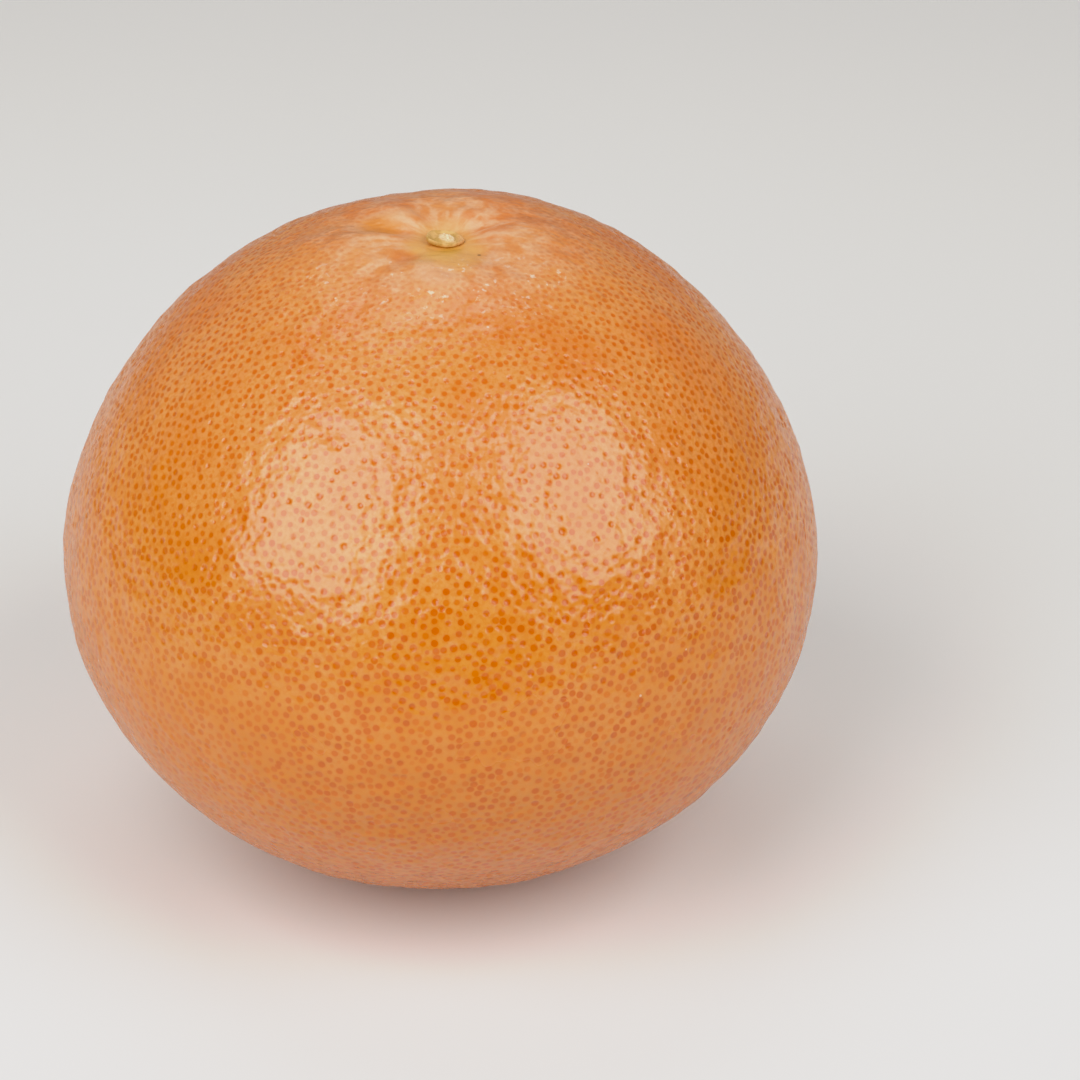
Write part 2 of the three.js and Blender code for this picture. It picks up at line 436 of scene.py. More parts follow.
@dataclass(frozen=True)
class FruitShape:
    """The skin's form, as a function of the direction from the body's middle."""

    equator_radius: float = 56 * MM
    half_height: float = 51.7 * MM
    taper: float = 0.052
    shoulder: float = 0.054
    heel: float = 0.061
    swellings: tuple[Swelling, ...] = (
        Swelling(2, 20, 0.35 * MM),
        Swelling(4, 55, 0.2 * MM),
        Swelling(6, 10, 0.1 * MM),
    )
    stem_lean: float = 0.5 * MM
    lean_power: int = 4
    flat_sink: float = 0.75 * MM
    scar_radius: float = 2.4 * MM
    scar_depth: float = 0.7 * MM
    scar_edge: float = 0.6 * MM
    basin_depth: float = 2.8 * MM
    basin_reach: float = 10 * MM
    folds: tuple[Fold, ...] = (
        Fold(8, 16, 9 * MM, 0.35 * MM),
        Fold(38, 12, 9 * MM, -0.3 * MM),
        Fold(68, 20, 9 * MM, 0.5 * MM),
        Fold(128, 12, 9 * MM, 0.5 * MM),
        Fold(156, 13, 9 * MM, -0.55 * MM),
        Fold(186, 13, 9 * MM, 0.6 * MM),
        Fold(228, 12, 9 * MM, -0.55 * MM),
        Fold(262, 18, 9 * MM, 0.35 * MM),
        Fold(318, 15, 9 * MM, -0.4 * MM),
        Fold(56, 35, 30 * MM, 0.2 * MM),
        Fold(118, 25, 30 * MM, -0.2 * MM),
    )
    stem_end_level: float = 0.6
    crease_crest: float = 7.5 * MM
    creases: tuple[Ripple, ...] = (
        Ripple(11, 0.4, 0.018 * MM),
        Ripple(19, 1.9, 0.01 * MM),
        Ripple(31, 3.3, 0.004 * MM),
    )
    bends: tuple[Bend, ...] = (Bend(3, 420, 0.16), Bend(7, 700, 0.09))
    seat_radius: float = 3.5 * MM
    seat_edge: float = 0.25
    fold_start: float = 4 * MM
    calm_share: float = 0.8
    calm_reach: float = 9 * MM
    unevenness: tuple[Undulation, ...] = (
        Undulation(21 * MM, 0.07 * MM),
        Undulation(8 * MM, 0.028 * MM),
        Undulation(4.2 * MM, 0.038 * MM),
    )

    @property
    def centre_height(self) -> float:
        """How high the body's middle lies above the surface that the fruit rests on."""
        return self.half_height - self.flat_sink

    @property
    def seat_height(self) -> float:
        """How high the level skin under the button lies."""
        return self.centre_height + self.half_height - self.basin_depth

    def half_width(self, level: Array) -> Array:
        """The body's half width: a circle's, times a cubic in the level.

        Args:
            level: from -1 at the blossom end to 1 at the stem end.

        Returns:
            The distance from the axis, in metres.
        """
        cubic = 1 - self.taper * level - self.shoulder * level**2 + self.heel * level**3
        return self.equator_radius * np.sqrt(np.maximum(1 - level**2, 0)) * cubic

    def swelling_height(self, azimuth: Array, level: Array) -> Array:
        """The sum of the swellings, each a cosine of the azimuth, fading to nothing at both ends."""
        waves = [s.height * np.cos(s.count * (azimuth - math.radians(s.azimuth))) for s in self.swellings]
        return sum(waves) * (1 - level**2)

    @staticmethod
    def reach(across: Array, crest: float) -> Array:
        """How much of a fold or crease is left at each distance: all of it at the crest.

        It is the square of the share of the crest's distance times e to one less that share.
        """
        share = across / crest
        return (share * np.exp(1 - share)) ** 2

    def fold_height(self, across: Array, azimuth: Array) -> Array:
        """The sum of the folds, each a bell over the azimuth.

        Args:
            across: the distance of each point from the axis.
            azimuth: its direction round it.

        Returns:
            The height at each point.
        """
        total = np.zeros_like(across)
        for fold in self.folds:
            turn = azimuth - math.radians(fold.azimuth)
            apart = np.arctan2(np.sin(turn), np.cos(turn)) / math.radians(fold.spread)
            total += fold.height * np.exp(-apart * apart) * self.reach(across, fold.crest)
        return total

    def crease_height(self, across: Array, azimuth: Array) -> Array:
        """The sum of the creases, which are ripples over a bent azimuth.

        Args:
            across: the distance of each point from the axis.
            azimuth: its direction round it.

        Returns:
            The height at each point.
        """
        sways = [bend.size * np.sin(bend.count * azimuth + bend.turning * across) for bend in self.bends]
        bent = azimuth + sum(sways)
        total = sum(crease.heights(bent) for crease in self.creases)
        return total * self.reach(across, self.crease_crest)

    def stem_end_height(self, across: Array, azimuth: Array, level: Array) -> Array:
        """What the stem end adds: a bell-shaped basin, and its folds and creases outside the seat.

        Args:
            across: the distance of each point from the axis.
            azimuth: its direction round it.
            level: from -1 at the blossom end to 1 at the stem end.

        Returns:
            The height at each point.
        """
        outside = smooth_step(across, self.seat_radius, self.seat_radius + self.fold_start)
        relief = self.fold_height(across, azimuth) + self.crease_height(across, azimuth)
        basin = self.basin_depth * np.exp(-((across / self.basin_reach) ** 2))
        return (relief * outside - basin) * smooth_step(level, 0, self.stem_end_level)

    def points(self, directions: Array, pressed: Array, draw: np.random.Generator) -> Array:
        """The skin in these directions: the body, moved along its normal by what lies on it.

        Args:
            directions: one unit vector for each point.
            pressed: how far each point is pressed in.
            draw: where the unevenness takes its random numbers from.

        Returns:
            One row of three for each direction, in metres.
        """
        level = directions[:, 2]
        across = self.half_width(level)
        azimuth = np.arctan2(directions[:, 1], directions[:, 0])
        stem_side = level > 0
        height = self.swelling_height(azimuth, level) - pressed
        height += self.stem_end_height(across, azimuth, level)
        outwards = unit(directions[:, :2] + POLE_NUDGE)
        up = self.centre_height + self.half_height * level
        body = np.column_stack([outwards * across[:, None], up])
        body[:, 0] += self.stem_lean * np.maximum(level, 0) ** self.lean_power
        away = smooth_step(across, self.seat_radius, self.seat_radius + self.calm_reach)
        calm = 1 - self.calm_share * stem_side * (1 - away)
        height += calm * sum(wave.heights(body, draw) for wave in self.unevenness)
        normals = unit(directions * (1, 1, self.equator_radius / self.half_height))
        points = body + normals * height[:, None]

        edge = self.seat_edge * self.seat_radius
        seated = stem_side * (1 - smooth_step(across, self.seat_radius - edge, self.seat_radius + edge))
        points[:, 2] += seated * (self.seat_height - points[:, 2])
        scar, edge = self.scar_radius, self.scar_edge
        scarred = 1 - smooth_step(across, scar - edge, scar + edge)
        floor = np.where(stem_side, -1, self.scar_depth * scarred)
        points[:, 2] = np.maximum(points[:, 2], floor)
        return points


@dataclass
class Glands:
    """The oil glands: where each lies, and how its pit and dot are.

    The depth is the pit's in the mesh. The dish is how much deeper its round middle looks, which is
    too fine for the mesh.
    """

    directions: Array
    radius: Array
    depth: Array
    dish: Array
    tone: Array
    strength: Array


@dataclass(frozen=True)
class GlandPattern:
    """How the oil glands lie in the skin."""

    spacing: float = 1.56 * MM
    jitter: float = 0.45
    settling: int = 3
    stem_crowding: float = 1.2
    stem_crowding_reach: float = 17 * MM
    end_detail: float = 3.0
    end_detail_reach: float = 9 * MM
    level_steps: int = 4001
    small_share: float = 0.1
    large_radius: Span = (0.41 * MM, 0.54 * MM)
    small_radius: Span = (0.26 * MM, 0.36 * MM)
    crowded_power: float = 0.35
    stem_shrink: float = 0.2
    shrunk_levels: Span = (0.2, 0.7)
    widest: float = 0.56
    large_strength: Span = (0.84, 1.0)
    small_strength: Span = (0.45, 0.85)
    pit_depth: Span = (0.05 * MM, 0.13 * MM)
    dish_depth: float = 0.115 * MM
    large_dish: Span = (0.12, 1.22)
    small_dish: float = 0.2
    dish_power: int = 5
    shown_across: Span = (3 * MM, 34 * MM)

    def crowding(self, shape: FruitShape, level: Array) -> Array:
        """How many times closer than on the body the cells lie, counted by area.

        Glands crowd near the stem. Close round both ends, where there are none, the cells only carry
        the skin's creases and the blossom scar.

        Args:
            shape: the skin that they lie in.
            level: from -1 at the blossom end to 1 at the stem end.

        Returns:
            One more than the crowding that each bell over the distance from an end adds.
        """
        radius = (shape.equator_radius + shape.half_height) / 2
        from_stem = radius * np.arccos(np.clip(level, -1, 1))
        from_blossom = radius * math.pi - from_stem
        crowded = self.stem_crowding * np.exp(-((from_stem / self.stem_crowding_reach) ** 2))
        ends = [np.exp(-((away / self.end_detail_reach) ** 2)) for away in (from_stem, from_blossom)]
        return 1 + crowded + self.end_detail * sum(ends)

    def directions(self, shape: FruitShape, draw: np.random.Generator) -> Array:
        """Cell middles on a golden-angle spiral whose turns close up where the cells crowd.

        Args:
            shape: the skin that they lie in.
            draw: where the small random moves come from.

        Returns:
            One unit vector for each, the last at the blossom end's pole.
        """
        radius = (shape.equator_radius + shape.half_height) / 2
        levels = np.linspace(1, -1, self.level_steps)
        crowding = self.crowding(shape, levels)
        filled = np.concatenate([[0], np.cumsum((crowding[1:] + crowding[:-1]) / 2)])
        cell_area = math.sqrt(3) / 2 * self.spacing**2
        count = round(4 * math.pi * radius**2 / cell_area * filled[-1] / (len(levels) - 1))
        turns = np.arange(count)
        level = np.interp((turns + 0.5) / count * filled[-1], filled, levels)
        azimuth = turns * math.pi * (3 - math.sqrt(5))
        rim = np.sqrt(1 - level**2)
        spiral = np.column_stack([rim * np.cos(azimuth), rim * np.sin(azimuth), level])
        reach = self.jitter * self.spacing / radius / np.sqrt(self.crowding(shape, level))
        moved = unit(spiral + draw.uniform(-1, 1, (count, 3)) * reach[:, None])
        return np.vstack([moved, [[0, 0, -1]]])

    def glands(
        self, shape: FruitShape, directions: Array, gap: Array, draw: np.random.Generator
    ) -> Glands:
        """Draws each gland's size and colour.

        Args:
            shape: the skin that they lie in.
            directions: the middle of each cell.
            gap: how far its nearest neighbour lies.
            draw: where the random numbers come from.

        Returns:
            The glands, with nothing to show near the two ends.
        """
        count = len(directions)
        level = directions[:, 2]
        across = shape.half_width(level)
        small = draw.random(count) < self.small_share
        share = draw.random(count)
        radius = np.where(small, between(self.small_radius, share), between(self.large_radius, share))
        radius = radius / self.crowding(shape, level) ** self.crowded_power
        radius = radius * (1 - self.stem_shrink * smooth_step(level, *self.shrunk_levels))
        radius = np.minimum(radius, self.widest * gap)
        shown = smooth_step(across, *self.shown_across)
        tone = draw.random(count)
        strength = between(self.large_strength, tone)
        strength = np.where(small, between(self.small_strength, tone), strength) * shown
        large_dish = between(self.large_dish, draw.random(count) ** self.dish_power)
        dish = self.dish_depth * np.where(small, self.small_dish, large_dish) * shown
        depth = between(self.pit_depth, draw.random(count)) * shown
        return Glands(directions, radius, depth, dish, tone, strength)


class RindMap:
    """Where a point of the rind is: how high, how far from the stem, and where in its gland."""

    def __init__(self, bench: Bench, shape: FruitShape, finish: "RindFinish") -> None:
        """Reads the place on the fruit, and what the mesh holds about the glands.

        Args:
            bench: where the nodes go.
            shape: the fruit's form.
            finish: the sizes of the rind's zones and noises.
        """
        x, y, self.radius = bench.attribute("gland_place")
        self.deepened, self.tone, self.strength = bench.attribute("gland_kind")
        self.distance = (x * x + y * y).root()

        east, self.north, self.up = bench.parts(bench.place())
        self.east = east - shape.stem_lean * self.up.stepped(shape.centre_height, shape.seat_height)
        self.across = (self.east * self.east + self.north * self.north).root()
        self.stem_side = self.up.stepped(*finish.stem_half)
        self.near_stem = (1 - self.across.stepped(*finish.stem_zone)) * self.stem_side

        self.mottle = finish.mottle.on(bench)
        self.clouds = finish.clouds.on(bench)
        self.blotches = finish.blotches.on(bench)
        self.high = (self.up + self.mottle * finish.high_sway).stepped(*finish.high_zone)
        bend = (self.clouds - 0.5) * finish.streak_bend
        spoke = bench.vector(
            self.east / self.across * finish.streaks_round + bend,
            self.north / self.across * finish.streaks_round + bend,
            self.across * finish.streaks_outwards,
        )
        self.streaks = bench.noise(1.0, finish.streak_layers, spoke)


@dataclass(frozen=True)
class Patch:
    """A soft-edged spot of another tint near the stem, placed from the axis.

    The core is the share of the radius that has the full tint.
    """

    east: float
    north: float
    radius: float
    share: float
    tint: Tint
    core: float = 0.3

    def over(self, bench: Bench, colour: Any, at: RindMap) -> Any:
        """Lays the patch over a colour.

        Args:
            bench: where the nodes go.
            colour: what is under it.
            at: where each point of the rind is.

        Returns:
            The new colour's socket.
        """
        aside = at.east - self.east
        along = at.north - self.north
        away = (aside * aside + along * along).root() / self.radius
        near = 1 - away.stepped(self.core, 1.0)
        return bench.mix(near * at.stem_side * self.share, colour, self.tint)


PALE_SKIN = Tint(231, 176, 134)
ROSY_SKIN = Tint(217, 118, 58)
# Near-white for the specks and flecks that are painted glints: small reflections of the lights laid into
# the colour.
GLINT_WHITE = Tint(246, 226, 204)


@dataclass(frozen=True)
class RindFinish:
    """Waxed grapefruit rind: orange gland dots in a paler skin, blushed towards the stem.

    Spans and veils are in metres where they follow a height or a distance. On a noise, which lies
    round 0.5, they are its values, and on a dot they are shares of its radius.
    """

    # Zones and noises that several parts of the finish follow
    stem_half: Span = (60 * MM, 70 * MM)
    stem_zone: Span = (8 * MM, 27 * MM)
    high_zone: Span = (70 * MM, 112 * MM)
    high_sway: float = 30 * MM
    mottle: Grain = Grain(16 * MM, 3)
    clouds: Grain = Grain(9 * MM, 2)
    blotches: Grain = Grain(2.8 * MM, 3)
    streaks_round: float = 5.0
    streaks_outwards: float = 0.27 / MM
    streak_bend: float = 2.2
    streak_layers: int = 3

    # Skin between the glands
    skin: Tint = Tint(221, 142, 66)
    golden: Veil = Veil(0.35, 0.65, 1.0, Tint(214, 126, 34))
    # Darker and deeper orange towards the bottom: partly the skin's own tone, partly painted shade on the
    # lower half.
    low: Veil = Veil(94 * MM, 28 * MM, 0.85, Tint(192, 107, 26))
    low_sway: float = 16 * MM
    blush: Tint = Tint(222, 142, 82)
    blush_share: float = 0.9
    rosy: Veil = Veil(0.58, 0.38, 0.7, ROSY_SKIN)
    pale_streaks: Veil = Veil(0.42, 0.64, 0.75, PALE_SKIN)
    rosy_streaks: Veil = Veil(0.47, 0.3, 0.3, ROSY_SKIN)
    pale_blotches: Veil = Veil(0.45, 0.66, 0.42, PALE_SKIN)
    olive: Veil = Veil(7 * MM, 3.4 * MM, 0.9, Tint(226, 164, 92))
    olive_forward: float = 2.5 * MM
    olive_squash: float = 0.42
    olive_sway: float = 5 * MM
    pores: Grain = Grain(0.6 * MM, 3)
    pore_tint: Veil = Veil(0.42, 0.6, 0.5, Tint(204, 114, 32))
    pores_lost_at_stem: float = 0.85

    # Dots over the glands
    dot: Tint = Tint(190, 85, 0)
    dot_pale: Tint = Tint(200, 100, 4)
    dot_golden: Veil = Veil(-12 * MM, -42 * MM, 0.5, Tint(200, 108, 6))
    dot_red: Tint = Tint(204, 98, 26)
    dot_red_share: float = 0.85
    dot_edge: float = 0.1  # in millimetres, as the mesh holds its distances
    halo: Span = (0.8, 1.9)
    halo_share: float = 0.28

    # Marks: painted glints, blemishes, and patches, two of them painted shadow and painted light
    # Painted glints: near-white specks at random over the whole rind.
    painted_glint_specks: Specks = Specks(7 * MM, 0.24 * MM, 0.3, 0.42, GLINT_WHITE)
    fleck_grain: Grain = Grain(0.9 * MM, 3)
    # Painted glints: near-white flecks in clusters in front of the stem.
    flecks: Veil = Veil(0.58, 0.68, 0.55, GLINT_WHITE)
    fleck_clusters: Grain = Grain(4 * MM, 1)
    in_cluster: Span = (0.46, 0.6)
    flecks_forward: Span = (3 * MM, 10 * MM)
    flecks_across: Span = (15 * MM, 28 * MM)
    blemishes: Specks = Specks(19 * MM, 0.35 * MM, 0.35, 0.6, Tint(92, 56, 20))
    patches: tuple[Patch, ...] = (
        Patch(-9.5 * MM, 4.4 * MM, 4.5 * MM, 0.7, Tint(216, 128, 40)),
        Patch(-5.6 * MM, -6 * MM, 3.2 * MM, 0.7, Tint(214, 116, 50)),
        Patch(-5.6 * MM, 7.6 * MM, 3 * MM, 0.35, Tint(228, 176, 130)),
        Patch(-1.4 * MM, -12.5 * MM, 4 * MM, 0.5, Tint(224, 166, 128)),
        # Painted light: a pale spot that lifts the shade on the basin's front wall, in front of the
        # button.
        Patch(-0.6 * MM, -5.8 * MM, 3.4 * MM, 0.55, Tint(236, 178, 92)),
        # Painted shadow: a dark olive spot on the skin under the front of the button's rim.
        Patch(0.9 * MM, -3.2 * MM, 2.6 * MM, 0.55, Tint(200, 146, 52)),
        Patch(5.0 * MM, -4.9 * MM, 0.4 * MM, 0.8, Tint(96, 62, 28)),
    )
    scar: Tint = Tint(140, 96, 48)
    scar_share: float = 0.9
    scar_edge: Span = (0.8, 1.5)
    scar_sway: float = 2 * MM
    scar_grain: Grain = Grain(1.2 * MM, 2)
    scar_ragged: float = 1.6 * MM

    # Fine relief, with its heights in millimetres
    pebbles: tuple[Grain, ...] = (Grain(3.2 * MM, 2, 0.42), Grain(1.7 * MM, 1, 0.17))
    high_pebbles: Grain = Grain(0.9 * MM, 2, 0.05)
    finest: Grain = Grain(0.5 * MM, 2, 0.004)
    calm_zone: Span = (3 * MM, 14 * MM)
    calm_share: float = 0.8
    streak_height: float = 0.07
    blotch_height: float = 0.15
    crinkles_start: Span = (2.5 * MM, 9 * MM)
    dish: Span = (0.1, 1.7)

    # Gloss
    roughness: float = 0.26
    roughness_sway: float = 0.1
    rougher_at_stem: float = 0.1
    refraction: float = 1.6

    def skin_colour(self, bench: Bench, at: RindMap) -> Any:
        """The skin between the glands, from its broad tints, with painted shade towards the bottom, to
        its fine grain.

        Args:
            bench: where the nodes go.
            at: where each point of the rind is.

        Returns:
            Its colour's socket.
        """
        skin = self.golden.over(bench, self.skin, at.clouds)
        # Partly painted shade: the skin darkens towards the bottom.
        skin = self.low.over(bench, skin, at.up + at.mottle * self.low_sway)
        skin = bench.mix(at.high * self.blush_share, skin, self.blush)
        skin = self.rosy.over(bench, skin, at.mottle, at.high)
        skin = self.pale_streaks.over(bench, skin, at.streaks, at.near_stem)
        skin = self.rosy_streaks.over(bench, skin, at.streaks, at.near_stem)
        skin = self.pale_blotches.over(bench, skin, at.blotches, at.near_stem)
        forward = at.north + self.olive_forward
        reach = (at.east * at.east + forward * forward * self.olive_squash).root()
        reach = reach + (at.clouds - 0.5) * self.olive_sway
        skin = self.olive.over(bench, skin, reach, at.stem_side)
        kept = 1 - at.near_stem * self.pores_lost_at_stem
        return self.pore_tint.over(bench, skin, self.pores.on(bench), kept)

    def dotted(self, bench: Bench, at: RindMap, skin: Any) -> Any:
        """The skin with the gland dots on it, each a disc in a softer halo.

        Args:
            bench: where the nodes go.
            at: where each point of the rind is.
            skin: the colour under them.

        Returns:
            The new colour's socket.
        """
        disc = 1 - at.distance.stepped(at.radius - self.dot_edge, at.radius + self.dot_edge)
        start, end = self.halo
        halo = 1 - at.distance.stepped(at.radius * start, at.radius * end)
        dot = bench.mix(at.tone, self.dot_pale, self.dot)
        dot = self.dot_golden.over(bench, dot, at.east)
        dot = bench.mix(at.high * self.dot_red_share, dot, self.dot_red)
        share = disc * (1 - self.halo_share) + halo * self.halo_share
        return bench.mix(share * at.strength, skin, dot)

    def marked(self, bench: Bench, at: RindMap, colour: Any) -> Any:
        """The colour with painted glints, as specks and as flecks in front of the stem, and dark specks
        and patches.

        Args:
            bench: where the nodes go.
            at: where each point of the rind is.
            colour: what is under them.

        Returns:
            The new colour's socket.
        """
        # Painted glints, as near-white specks.
        colour = self.painted_glint_specks.over(bench, colour)
        front = (0 - at.north).stepped(*self.flecks_forward)
        front = front * (1 - at.across.stepped(*self.flecks_across))
        clusters = self.fleck_clusters.on(bench).stepped(*self.in_cluster)
        within = clusters * front * at.stem_side
        # Painted glints in front of the stem.
        colour = self.flecks.over(bench, colour, self.fleck_grain.on(bench), within)
        colour = self.blemishes.over(bench, colour)
        for patch in self.patches:
            colour = patch.over(bench, colour, at)
        return colour

    def scarred(self, bench: Bench, at: RindMap, colour: Any, radius: float) -> Any:
        """The colour with the ragged dry scar at the blossom end.

        Args:
            bench: where the nodes go.
            at: where each point of the rind is.
            colour: what is under it.
            radius: about how far it reaches.

        Returns:
            The new colour's socket.
        """
        ragged = at.across + (at.clouds - 0.5) * self.scar_sway
        ragged = ragged + (self.scar_grain.on(bench) - 0.5) * self.scar_ragged
        start, end = self.scar_edge
        shown = (1 - ragged.stepped(radius * start, radius * end)) * (1 - at.stem_side)
        return bench.mix(shown * self.scar_share, colour, self.scar)

    def relief(self, bench: Bench, at: RindMap) -> Signal:
        """The fine relief: pebbling, crinkles round the stem, and a dish in each gland.

        Args:
            bench: where the nodes go.
            at: where each point of the rind is.

        Returns:
            Its height in millimetres.
        """
        calm = 1 - (1 - at.across.stepped(*self.calm_zone)) * at.stem_side * self.calm_share
        pebbles = sum(grain.on(bench) for grain in self.pebbles) * calm
        fine = self.high_pebbles.on(bench) * at.high + self.finest.on(bench)
        crinkles = at.streaks * self.streak_height + at.blotches * self.blotch_height
        crinkles = crinkles * at.near_stem * at.across.stepped(*self.crinkles_start)
        start, end = self.dish
        dish = 1 - at.distance.stepped(at.radius * start, at.radius * end)
        return pebbles + fine + crinkles - at.deepened * dish

    def material(self, shape: FruitShape) -> bpy.types.Material:
        """Makes the rind's material, which reads each gland's place and kind from the mesh.

        Args:
            shape: the fruit's form.

        Returns:
            The material.
        """
        material, bench = new_material("rind")
        at = RindMap(bench, shape, self)
        colour = self.dotted(bench, at, self.skin_colour(bench, at))
        colour = self.scarred(bench, at, self.marked(bench, at, colour), shape.scar_radius)
        roughness = self.roughness + (at.mottle - 0.5) * self.roughness_sway
        bench.finish(
            {
                "Base Color": colour,
                "Roughness": roughness + at.near_stem * self.rougher_at_stem,
                "Normal": bench.bump(self.relief(bench, at), MM),
                "IOR": self.refraction,
            }
        )
        return material


@dataclass
class Rind:
    """The fruit's skin, whole and closed."""

    shape: FruitShape
    pattern: GlandPattern
    finish: RindFinish

    @staticmethod
    def triangles(directions: Array) -> Array:
        """Joins the cells' middles into the triangles whose circles hold no other middle.

        The sphere is drawn flat from the blossom pole, which keeps circles round, and triangulated
        there. The last direction is that pole, so it joins every edge of the flat drawing's outline.

        Args:
            directions: one unit vector for each cell, the last at the blossom pole.

        Returns:
            One row of three cell numbers for each triangle.
        """
        flat = directions[:-1, :2] / (1 + directions[:-1, 2:])
        places = [Vector(place) for place in flat]
        drawn = delaunay_2d_cdt(places, [], [], 0, SAME_PLACE, False)
        inner = np.array(drawn[2])
        sides = inner[:, [0, 1, 1, 2, 2, 0]].reshape(-1, 2)
        keys = np.sort(sides, axis=1) @ (len(directions), 1)
        _, first, counts = np.unique(keys, return_index=True, return_counts=True)
        outline = sides[first[counts == 1]]
        pole = np.full(len(outline), len(directions) - 1)
        return np.vstack([inner, np.column_stack([outline[:, ::-1], pole])])

    @staticmethod
    def neighbours(triangles: Array, count: int) -> tuple[Array, Array]:
        """Pairs the triangles that share a side.

        Args:
            triangles: rows of three cell numbers.
            count: how many cells there are.

        Returns:
            For each side, its two cells, and the two triangles that meet there.
        """
        sides = np.sort(triangles[:, [0, 1, 1, 2, 2, 0]].reshape(-1, 2), axis=1)
        owner = np.repeat(np.arange(len(triangles)), 3)
        order = np.argsort(sides @ (count, 1), kind="stable")
        return sides[order][::2], owner[order].reshape(-1, 2)

    def settled(self, directions: Array) -> Array:
        """Evens out the cells: each moves halfway to the middle of its neighbours, a few times.

        Args:
            directions: one unit vector for each cell, the last at the blossom pole.

        Returns:
            The new unit vectors.
        """
        for _ in range(self.pattern.settling):
            cells, _ = self.neighbours(self.triangles(directions), len(directions))
            total = np.zeros_like(directions)
            np.add.at(total, cells[:, 0], directions[cells[:, 1]])
            np.add.at(total, cells[:, 1], directions[cells[:, 0]])
            directions = unit(directions + unit(total))
            directions[-1] = (0, 0, -1)
        return directions

    @staticmethod
    def corners(directions: Array, triangles: Array) -> Array:
        """Where three cells meet: the normal of the triangle of their glands, turned outwards.

        Args:
            directions: one unit vector for each cell.
            triangles: rows of three cell numbers.

        Returns:
            One unit vector for each triangle.
        """
        first, second, third = (directions[triangles[:, i]] for i in range(3))
        corners = unit(np.cross(second - first, third - first))
        corners *= np.sign((corners * (first + second + third)).sum(axis=1))[:, None]
        return corners

    def gaps(self, directions: Array, cells: Array) -> Array:
        """How far each gland's nearest neighbour lies, as if the fruit were a ball.

        Args:
            directions: one unit vector for each cell.
            cells: the two cells of each side.

        Returns:
            One distance for each cell, in metres.
        """
        gap = np.full(len(directions), np.inf)
        apart = np.linalg.norm(directions[cells[:, 0]] - directions[cells[:, 1]], axis=1)
        for side in range(2):
            np.minimum.at(gap, cells[:, side], apart * self.shape.equator_radius)
        return gap

    def faces(self, points: Array, cells: Array, meeting: Array) -> Array:
        """Two triangles for each side between two cells, one to either gland, turned outwards.

        Args:
            points: the gland points, then the corner points.
            cells: the two cells of each side.
            meeting: the two corners at its ends, by their point numbers.

        Returns:
            One row of three point numbers for each triangle, its gland's first.
        """
        faces = np.column_stack([cells.reshape(-1), np.repeat(meeting, 2, axis=0)])
        first, second, third = (points[faces[:, i]] for i in range(3))
        outwards = first - np.array([0, 0, self.shape.centre_height])
        facing = (np.cross(second - first, third - first) * outwards).sum(axis=1)
        faces[facing < 0] = faces[facing < 0][:, [0, 2, 1]]
        return faces

    def build(self) -> bpy.types.Object:
        """Makes the rind: a pressed point at each gland, and a corner where three cells meet.

        Returns:
            The new piece.
        """
        draw = np.random.default_rng(RANDOM_SEED)
        directions = self.settled(self.pattern.directions(self.shape, draw))
        count = len(directions)
        triangles = self.triangles(directions)
        cells, meeting = self.neighbours(triangles, count)
        gap = self.gaps(directions, cells)
        glands = self.pattern.glands(self.shape, directions, gap, draw)

        corners = self.corners(directions, triangles)
        pressed = np.concatenate([glands.depth, np.zeros(len(corners))])
        points = self.shape.points(np.vstack([directions, corners]), pressed, draw)
        faces = self.faces(points, cells, meeting + count)

        piece = mesh_object("rind", points, faces, self.finish.material(self.shape))
        self.mark_glands(piece.data, points, faces, glands)
        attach(piece, "root")
        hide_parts("fruit")
        return piece

    @staticmethod
    def mark_glands(mesh: bpy.types.Mesh, points: Array, faces: Array, glands: Glands) -> None:
        """Writes on every face corner how it lies from its own gland, and what the gland is like.

        The place is the offset along the skin, east and north of the gland, and the dot's radius. The
        kind is the dish, the tone and the strength. Lengths are in millimetres.

        Args:
            mesh: the rind's mesh.
            points: one row of three for each vertex, in metres.
            faces: one row of three vertex numbers for each triangle, its gland's first.
            glands: what each gland is like.
        """
        owner = faces[:, 0]
        normals = glands.directions[owner]
        east = unit(np.cross([0, 0, 1], normals) + (NO_LENGTH, 0, 0))
        north = np.cross(normals, east)
        offsets = points[faces] - points[owner][:, None]
        place = np.empty((len(faces), 3, 3))
        place[:, :, 0] = (offsets * east[:, None]).sum(axis=2) / MM
        place[:, :, 1] = (offsets * north[:, None]).sum(axis=2) / MM
        place[:, :, 2] = (glands.radius[owner] / MM)[:, None]
        kind = np.column_stack([glands.dish / MM, glands.tone, glands.strength])[owner]
        for name, values in (("gland_place", place), ("gland_kind", np.repeat(kind, 3, axis=0))):
            layer = mesh.attributes.new(name, "FLOAT_VECTOR", "CORNER")
            layer.data.foreach_set("vector", values.astype(np.float32).reshape(-1))


